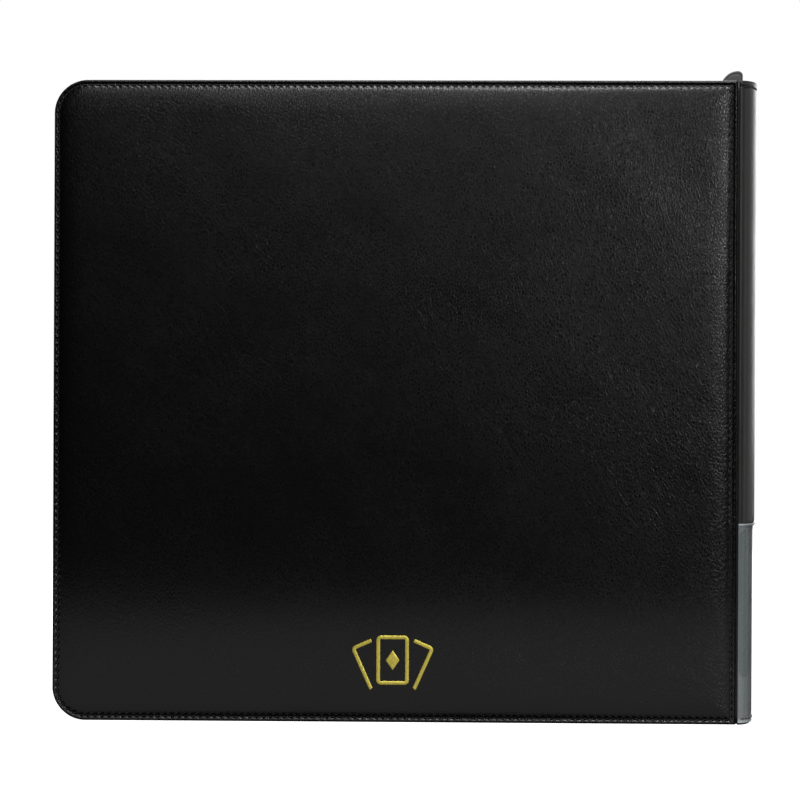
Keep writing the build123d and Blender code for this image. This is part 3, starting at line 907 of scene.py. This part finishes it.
def build_zip_coil(side_name):
    """The coil: one small loop of wire for each turn, leaning along the tape's free edge.

    A loop is an ellipse across the tape; its wire is a ring of five points round that ellipse.
    """
    settings = bpy.context.scene.binder_zip
    side = SIDES[side_name]
    middle_inset = (tape_low.x + 0.4 * MM) - EDGE_X
    places, ways = path_of_zip(middle_inset, settings.turn_pitch)
    outs = np.stack([-ways[:, 1], ways[:, 0]], -1)
    half_y = (coil_high.y - coil_low.y) / 2 - settings.wire / 2
    middle_y = abs(coil_high.y + coil_low.y) / 2
    half_out = 1.1 * MM - settings.wire / 2
    around, tube = 12, 5
    a = (np.arange(around) / around * math.tau)[None, :, None]
    b = (np.arange(tube) / tube * math.tau)[None, None, :]
    wire = settings.wire / 2
    lean = 0.28 * settings.turn_pitch * np.cos(a)
    reach_y = (half_y + wire * np.cos(b)) * np.cos(a)
    reach_out = (half_out + wire * np.cos(b)) * np.sin(a)
    along = lean + wire * np.sin(b)
    way, out = ways[:, None, None], outs[:, None, None]
    x = places[:, None, None, 0] + way[..., 0] * along + out[..., 0] * reach_out
    z = places[:, None, None, 1] + way[..., 1] * along + out[..., 1] * reach_out
    y = side * (middle_y + reach_y) + 0 * x
    points = np.stack([x, y, z], -1).reshape(-1, 3)
    one = grid_faces(around, tube, wrap_rows=True, wrap_columns=True)
    offset = (np.arange(len(places)) * around * tube)[:, None, None]
    piece = mesh_piece("zip_coil_turns_" + side_name, points, [(one[None] + offset).reshape(-1, 4)])
    material = finish_of("zip_coil", moulded_plastic, (0.02, 0.02, 0.021), 0.34)
    return finished(piece, material, side_name + "_cover", "zip_coil_" + side_name, slot="zip_coil")


def lens_tab(name, outline, centre, half_thick, rim, body, node, material, slot):
    """A flat leather tab: its outline shrunk to a centre, ring by ring, over a rounded rim on both faces.

    A point is the centre plus a share of the way to the outline, and its height above the middle plane
    follows a quarter round at the rim, a shallow sewn groove, and a nearly flat face.
    """
    reach = np.linalg.norm(outline - centre, axis=1).mean()
    edge = rim / reach
    roll = np.linspace(0, math.pi / 2, 6)
    shares = np.concatenate([1 - edge * (1 - np.cos(roll)), 1 - edge * np.array([1.5, 1.9, 2.3, 2.8, 3.6]),
                             [0.55, 0.3]])
    heights = np.concatenate([np.sin(roll), [0.98, 0.84, 0.86, 0.99, 1.03], [1.06, 1.07]]) * half_thick
    shares = np.concatenate([shares[::-1], shares[1:]])
    heights = np.concatenate([-heights[::-1], heights[1:]])
    ring = centre[None, None] + shares[:, None, None] * (outline - centre)[None]
    points = np.stack([ring[..., 0], heights[:, None] + 0 * ring[..., 0], ring[..., 1]], -1)
    piece = closed_sweep(name, points)
    return finished(piece, material, body, node, slot=slot)


def build_zip_tabs():
    """The folded end tab beside the spine and the tab on the slider's pull."""
    t = np.linspace(0, 1, 40)
    right, top, low = tab_high.x, tab_high.z, tab_low.z
    left = tab_low.x
    middle_z = top - 10.2 * MM
    sweep = math.pi - t * (math.pi / 2)
    arc = np.stack([right - 2.4 * MM + (right - 2.4 * MM - left) * np.cos(sweep),
                    middle_z + (top - middle_z) * np.sin(sweep)], -1)
    corner_turn = np.linspace(math.pi / 2, 0, 10)
    corner = np.stack([right - 2.4 * MM + 2.4 * MM * np.cos(corner_turn),
                       top - 2.4 * MM + 2.4 * MM * np.sin(corner_turn)], -1)
    down = np.stack([np.full(16, right), np.linspace(top - 3.4 * MM, low + 0.6 * MM, 16)], -1)
    foot = np.stack([np.linspace(right - 0.6 * MM, left + 0.6 * MM, 16), np.full(16, low)], -1)
    rise = np.stack([np.full(8, left), np.linspace(low + 0.6 * MM, middle_z - 0.8 * MM, 8)], -1)
    outline = np.concatenate([arc, corner[1:], down, foot, rise])
    centre = np.array([(left + right) / 2 + 1.2 * MM, (low + top) / 2])
    lens_tab("zip_end_fold", outline, centre, (tab_high.y - tab_low.y) / 2, 0.7 * MM, "spine",
             "zip_end_tab_top", finish_of("tab_leatherette", smooth_leatherette, (0.095, 0.098, 0.095), 0.5),
             "spine_leatherette")
    half = (pull_high.y - pull_low.y) / 2
    length = pull_high.x - pull_low.x
    turn = np.linspace(0, math.tau, 72, endpoint=False)
    middle = np.array([(pull_low.x + pull_high.x) / 2, 0.0])
    oval_x = np.sign(np.cos(turn)) * np.abs(np.cos(turn)) ** 0.45 * length / 2
    oval_y = np.sign(np.sin(turn)) * np.abs(np.sin(turn)) ** 0.62 * half
    flat = np.stack([middle[0] + oval_x, oval_y], -1)
    piece = lens_tab("zip_pull_leather", flat, middle, (pull_high.z - pull_low.z) / 2, 0.6 * MM, None,
                     "zip_pull_tab", finish_of("pull_leatherette", smooth_leatherette, (0.03, 0.03, 0.029),
                                               0.45), "pull_leatherette")
    points = points_of(piece)
    lifted = np.stack([points[:, 0], points[:, 2], (pull_low.z + pull_high.z) / 2 - points[:, 1]], -1)
    piece.data.vertices.foreach_set("co", lifted.ravel().astype(np.float32))
    piece.data.update()
    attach(piece, "zip_pull")


def leaf_height(x, z, low, high, settings):
    """Half the leaf's thickness at a point: thin at the tongue and the welds, full over a pocket."""
    weld = settings.weld
    column = (high[0] - low[0] - weld) / settings.columns
    row = (high[1] - low[1] - weld) / settings.rows
    in_x = (x - low[0]) % column
    in_z = (z - low[1]) % row
    from_x = np.minimum(in_x - weld, column - in_x)
    from_z = np.minimum(in_z - weld, row - in_z)
    inside = (x < high[0] - weld * 0.5) & (x > low[0])
    fill = smooth_step(from_x / (2.2 * MM)) * smooth_step(from_z / (2.2 * MM)) * inside
    tongue = smooth_step((x - high[0]) / (1.5 * MM))
    return (0.24 * MM + settings.swell * fill) * (1 - tongue) + 0.14 * MM * tongue, 1 - fill


def build_leaves():
    """Every leaf: two faces on a grid whose lines crowd at the welds, joined round their edges.

    The half thickness is a base plus a swell that rises smoothly from each pocket's welds.
    """
    settings = bpy.context.scene.binder_leaf
    material = finish_of("page_film", pocket_film)
    low_box, high_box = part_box(LEAVES[0])
    weld = settings.weld
    pocket_end = low_box.x + 316.5 * MM
    column = (pocket_end - low_box.x - weld) / settings.columns
    row = (high_box.z - low_box.z - weld) / settings.rows
    crowd = np.array([0.05, 0.95, 1.03, 1.35, 1.8]) * weld
    steps_x, steps_z = (
        np.concatenate([crowd, np.linspace(2 * weld, span - weld, 9), span - np.array([0.8, 0.35]) * weld])
        for span in (column, row)
    )
    xs = np.concatenate([low_box.x + k * column + steps_x for k in range(settings.columns)])
    xs = np.concatenate([[low_box.x], xs, pocket_end - np.array([0.95, 0.4, 0.0]) * weld,
                         np.linspace(pocket_end + 1.5 * MM, high_box.x, 6)])
    zs = np.concatenate([low_box.z + k * row + steps_z for k in range(settings.rows)])
    zs = np.concatenate([[low_box.z], zs, high_box.z - np.array([0.95, 0.4, 0.0]) * weld])
    x, z = np.meshgrid(np.unique(xs), np.unique(zs))
    corner = 4.6 * MM
    near_end = np.clip(corner - np.minimum(z - low_box.z, high_box.z - z), 0, None)
    taper = np.clip(1 - (x - low_box.x) / (30 * MM), 0, 1)
    shifted = x + near_end * taper
    half, weld_mask = leaf_height(x, z, (low_box.x, low_box.z), (pocket_end, high_box.z), settings)
    faces = sheet_faces(*x.shape)
    for name in LEAVES:
        low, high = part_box(name)
        y = (low.y + high.y) / 2
        near = np.stack([shifted, y - half, z], -1).reshape(-1, 3)
        far = np.stack([shifted, y + half, z], -1).reshape(-1, 3)
        piece = mesh_piece("leaf_" + name[5:] + "_pockets", np.concatenate([near, far]), faces)
        mark = piece.data.attributes.new("weld", "FLOAT", "POINT")
        mark.data.foreach_set("value", np.tile(weld_mask.ravel(), 2).astype(np.float32))
        finished(piece, material, "leaf_" + name[5:], name, slot="page_film")


def skin_height(x, z):
    """The padded face's height above the inner face at points well inside the back cover."""
    settings = bpy.context.scene.binder_cover
    return pad_profile(settings)[1][-1] + skin_waves(-x, z) + crown_height(x, z, settings)


def card_loop(width, height, corner, count):
    """Points round a rectangle with round corners, at even steps, starting in the middle of its foot."""
    turns = np.linspace(0, math.pi / 2, 12)
    parts = [np.array([[0.0, -height / 2]])]
    for k, (sx, sy) in enumerate(((1, -1), (1, 1), (-1, 1), (-1, -1))):
        start = -math.pi / 2 + k * math.pi / 2
        centre = np.array([sx * (width / 2 - corner), sy * (height / 2 - corner)])
        parts.append(centre + corner * np.stack([np.cos(start + turns), np.sin(start + turns)], -1))
    return even_path(np.concatenate(parts), True, (2 * width + 2 * height) / count)


def foil_band(points, ways, width, closed):
    """A band of foil along a line on the pad: four corners across, pressed slightly into the leather."""
    side = np.stack([-ways[:, 1], ways[:, 0]], -1) * width / 2
    left, right = points + side, points - side
    bevel = 0.12 * MM / width
    inner_left, inner_right = points + side * (1 - 2 * bevel), points - side * (1 - 2 * bevel)
    sections = []
    for line, rise in ((left, -0.12 * MM), (inner_left, 0.05 * MM), (inner_right, 0.05 * MM),
                       (right, -0.12 * MM)):
        y = -(INNER_Y + skin_height(line[:, 0], line[:, 1]) + rise)
        sections.append(np.stack([line[:, 0], y, line[:, 1]], -1))
    ring = np.stack(sections, 1)
    rows, across = ring.shape[:2]
    quads = grid_faces(rows, across, wrap_rows=closed, wrap_columns=True)
    caps = [] if closed else [np.arange(across)[None, ::-1], (rows - 1) * across + np.arange(across)[None]]
    return ring.reshape(-1, 3), quads, caps


def foil_patch(outline, centre):
    """A solid patch of foil: its outline shrunk towards the centre ring by ring, on the pad's surface."""
    shares = np.array([1.0, 0.94, 0.6, 0.25])
    rise = np.array([-0.12, 0.05, 0.05, 0.05]) * MM
    ring = shares[:, None, None] * outline[None] + centre
    y = -(INNER_Y + skin_height(ring[..., 0], ring[..., 1]) + rise[:, None])
    points = np.stack([ring[..., 0], y, ring[..., 1]], -1)
    rows, around = points.shape[:2]
    caps = [np.arange(around)[None, ::-1], (rows - 1) * around + np.arange(around)[None]]
    return points.reshape(-1, 3), grid_faces(rows, around, wrap_columns=True), caps


def build_emblem():
    """Three fanned card outlines and a diamond in gold foil, lying on the pad.

    Each outline is a rounded rectangle turned and shifted; the outer two stop short of the middle one.
    """
    settings = bpy.context.scene.binder_emblem
    centre = np.array([(foil_low.x + foil_high.x) / 2, foil_high.z - 12.5 * MM])
    width, height, corner = 16.5 * MM, 25.0 * MM, 2.4 * MM
    points, faces, first = [], [], 0

    def keep(band):
        nonlocal first
        ring, quads, caps = band
        points.append(ring)
        faces.append(quads + first)
        faces.extend(cap + first for cap in caps)
        first += len(ring)

    line, ways = card_loop(width - settings.line, height - settings.line, corner - settings.line / 2, 220)
    keep(foil_band(line + centre, ways, settings.line, True))
    for sign in (-1, 1):
        turn = -sign * math.radians(24)
        matrix = np.array([[math.cos(turn), -math.sin(turn)], [math.sin(turn), math.cos(turn)]])
        shift = np.array([sign * 8.6 * MM, -1.7 * MM])
        side_line = line @ matrix.T + shift
        side_ways = ways @ matrix.T
        gap = settings.line * 1.15
        hidden = (np.abs(side_line[:, 0]) < width / 2 + gap) & (np.abs(side_line[:, 1]) < height / 2 + gap)
        start = np.flatnonzero(hidden & ~np.roll(hidden, -1))[0] + 1
        order = np.roll(np.arange(len(side_line)), -start)
        order = order[~hidden[order]]
        keep(foil_band(side_line[order] + centre, side_ways[order], settings.line, False))
    pip = np.array([[0.0, -5.2], [3.6, 0.0], [0.0, 5.2], [-3.6, 0.0]]) * MM
    keep(foil_patch(even_path(pip, True, 0.55 * MM)[0], centre))
    groups = {}
    for block in faces:
        groups.setdefault(block.shape[1], []).append(block)
    blocks = [np.concatenate(group) for group in groups.values()]
    piece = mesh_piece("card_fan_emblem", np.concatenate(points), blocks)
    material = finish_of("gold_foil", stamped_foil, settings.colour)
    return finished(piece, material, "back_cover", "foil_emblem", slot="gold_foil")


def finish_cad_nodes():
    """Finishes for the pieces whose frame shape is already right."""
    finishes = {
        "greyboard": (pressed_board, (0.33, 0.31, 0.28)),
        "padding_foam": (pressed_board, (0.10, 0.10, 0.11), 1500.0, 1.0),
        "lining_cloth": (woven_cloth, (0.016, 0.016, 0.018), 2200.0),
        "zip_tape": (woven_cloth, (0.012, 0.012, 0.012), 1500.0, 0.14 * MM),
        "binding_plastic": (moulded_plastic, (0.03, 0.03, 0.03), 0.5),
        "zip_metal": (enamelled_zinc, (0.05, 0.05, 0.052)),
        "spine_leatherette": (smooth_leatherette, (0.021, 0.021, 0.020), 0.42),
    }
    for part in frame["record"]["subparts"]:
        if part["material_slot"] in finishes:
            make, *values = finishes[part["material_slot"]]
            piece = frame["nodes"][part["node"]]
            piece.data.materials.clear()
            piece.data.materials.append(finish_of(part["material_slot"], make, *values))


# ---- operators ----

class BINDER_OT_covers(bpy.types.Operator):
    """Make the padded leather of both covers"""
    bl_idname = "binder.covers"
    bl_label = "Covers"

    def execute(self, context):
        for name in SIDES:
            build_cover_skin(name)
        return {"FINISHED"}


class BINDER_OT_stitches(bpy.types.Operator):
    """Sew the covers and the two ends of the spine"""
    bl_idname = "binder.stitches"
    bl_label = "Stitches"

    def execute(self, context):
        for name in SIDES:
            build_cover_stitches(name)
        build_spine_stitches()
        return {"FINISHED"}


class BINDER_OT_spine(bpy.types.Operator):
    """Make the rounded spine's leather and the hinge leathers"""
    bl_idname = "binder.spine"
    bl_label = "Spine"

    def execute(self, context):
        build_spine_skin()
        for name in SIDES:
            build_hinge_leather(name)
        return {"FINISHED"}


class BINDER_OT_label(bpy.types.Operator):
    """Make the label pocket and its card"""
    bl_idname = "binder.label"
    bl_label = "Label"

    def execute(self, context):
        build_label_card()
        build_label_film("label_film", "front_film", 0.95, 0.85 * MM, 0.18 * MM, "label_window")
        build_label_film("label_film_back", "back_film", 3.6, 0.16 * MM, 0.0)
        return {"FINISHED"}


class BINDER_OT_zip(bpy.types.Operator):
    """Make the zip's coils and leather tabs"""
    bl_idname = "binder.zip"
    bl_label = "Zip"

    def execute(self, context):
        for name in SIDES:
            build_zip_coil(name)
        build_zip_tabs()
        return {"FINISHED"}


class BINDER_OT_leaves(bpy.types.Operator):
    """Make the pocket leaves"""
    bl_idname = "binder.leaves"
    bl_label = "Leaves"

    def execute(self, context):
        build_leaves()
        return {"FINISHED"}


class BINDER_OT_emblem(bpy.types.Operator):
    """Stamp the card fan in gold foil on the back cover"""
    bl_idname = "binder.emblem"
    bl_label = "Emblem"

    def execute(self, context):
        build_emblem()
        return {"FINISHED"}


class BINDER_OT_finishes(bpy.types.Operator):
    """Give the frame's own pieces their finishes"""
    bl_idname = "binder.finishes"
    bl_label = "Finishes"

    def execute(self, context):
        finish_cad_nodes()
        return {"FINISHED"}


WHITE = (1, 1, 1, 1)
FLOOR_REACH = 6.0
# Each light's name, place, the point it faces, its width and height in metres and its power in watts.
LIGHTS = (
    ("key_softbox", (0.93, -1.85, 0.60), (0.05, 0, 0.2), 0.3, 0.3, 5.4),
    ("front_softbox", (-0.05, -1.9, 0.88), (0, 0, 0.2), 0.3, 0.2, 0.95),
    ("top_softbox", (-0.05, -1.7, 1.4), (0, 0, 0.2), 0.6, 0.4, 2.7),
    ("spine_softbox", (1.4, 0.8, 0.45), (0.16, 0, 0.18), 0.5, 1.2, 1.9),
    ("side_softbox", (1.7, -0.2, 0.3), (0.16, 0, 0.18), 0.4, 1.0, 2.41),
    ("rear_softbox", (-0.3, 1.6, 1.2), (0, 0, 0.1), 1.6, 1.0, 16),
    ("fill_softbox", (0.4, -1.0, 2.0), (0, 0, 0.1), 0.8, 0.5, 26),
    ("far_side_softbox", (0.9, 1.9, 0.4), (0, 0, 0.15), 0.9, 0.5, 7),
)


def area_light(name, place, aim, width, height, power):
    """A soft rectangular light that faces a point."""
    data = bpy.data.lights.new(name, "AREA")
    data.shape = "RECTANGLE"
    data.size, data.size_y, data.energy = width, height, power
    light = bpy.data.objects.new(name, data)
    light.location = place
    light.rotation_mode = "QUATERNION"
    light.rotation_quaternion = (Vector(aim) - Vector(place)).to_track_quat("-Z", "Y")
    bpy.context.scene.collection.objects.link(light)
    return light


class BINDER_OT_stage(bpy.types.Operator):
    """Set the floor, the lights and the camera"""
    bl_idname = "binder.stage"
    bl_label = "Stage"

    def execute(self, context):
        scene = context.scene
        stage = scene.binder_stage
        corners = FLOOR_REACH * np.array([[-1, -1, 0], [1, -1, 0], [1, 1, 0], [-1, 1, 0]])
        floor = mesh_piece("studio_floor", corners, [np.array([[0, 1, 2, 3]])])
        floor.data.materials.append(Finish("floor_white").surface(
            Base_Color=(0.86, 0.86, 0.86, 1), Roughness=0.9, Emission_Color=WHITE, Emission_Strength=1.0))
        floor.visible_glossy = False
        floor.visible_diffuse = False
        scene.world = bpy.data.worlds.new("studio")
        scene.world.use_nodes = True
        tree = scene.world.node_tree
        tree.nodes.clear()
        seen = add(tree, "Background", {"Color": WHITE})
        dim = add(tree, "Background", {"Color": (0.9, 0.95, 1, 1), "Strength": 0.01})
        rays = add(tree, "LightPath").outputs["Is Camera Ray"]
        mix = add(tree, "MixShader", {0: rays, 1: dim.outputs[0], 2: seen.outputs[0]})
        add(tree, "OutputWorld", {"Surface": mix.outputs[0]})
        for light in LIGHTS:
            area_light(*light)
        area_light("floor_glow", (0.0, -0.085, 0.005), (0, 0, 0.05), 0.8, 0.1, 0.085).visible_camera = False
        data = bpy.data.cameras.new("camera")
        data.lens, data.sensor_width = stage.lens, 36.0
        data.clip_start, data.clip_end = 0.05, 60.0
        camera = bpy.data.objects.new("camera", data)
        aim = Vector((stage.side_shift, -OUTER_Y, stage.aim_height))
        away = Vector((math.sin(stage.azimuth), -math.cos(stage.azimuth), 0.0))
        camera.location = aim + away * stage.distance
        camera.rotation_euler = (math.pi / 2, stage.roll, stage.azimuth)
        scene.collection.objects.link(camera)
        scene.camera = camera
        scene.view_settings.view_transform = "Standard"
        return {"FINISHED"}


class BINDER_PT_panel(bpy.types.Panel):
    bl_label = "Card binder"
    bl_space_type = "VIEW_3D"
    bl_region_type = "UI"
    bl_category = "Binder"

    def draw(self, context):
        for operator in OPERATORS:
            self.layout.operator(operator.bl_idname)
        for name in GROUPS:
            settings = getattr(context.scene, name)
            box = self.layout.box()
            for key in settings.bl_rna.properties.keys():
                if key not in ("rna_type", "name"):
                    box.prop(settings, key)


GROUPS = {
    "binder_cover": BinderCover,
    "binder_spine": BinderSpine,
    "binder_zip": BinderZip,
    "binder_leaf": BinderLeaf,
    "binder_emblem": BinderEmblem,
    "binder_stage": BinderStage,
}
OPERATORS = (
    BINDER_OT_stage,
    BINDER_OT_covers,
    BINDER_OT_stitches,
    BINDER_OT_spine,
    BINDER_OT_label,
    BINDER_OT_zip,
    BINDER_OT_leaves,
    BINDER_OT_emblem,
    BINDER_OT_finishes,
)


def register():
    for group in (*GROUPS.values(), *OPERATORS, BINDER_PT_panel):
        bpy.utils.register_class(group)
    for name, group in GROUPS.items():
        setattr(bpy.types.Scene, name, PointerProperty(type=group))


def unregister():
    for name in GROUPS:
        delattr(bpy.types.Scene, name)
    for group in (BINDER_PT_panel, *OPERATORS[::-1], *GROUPS.values()):
        bpy.utils.unregister_class(group)


def main():
    register()
    for operator in OPERATORS:
        group, name = operator.bl_idname.split(".")
        getattr(getattr(bpy.ops, group), name)()


if __name__ == "__main__":
    main()
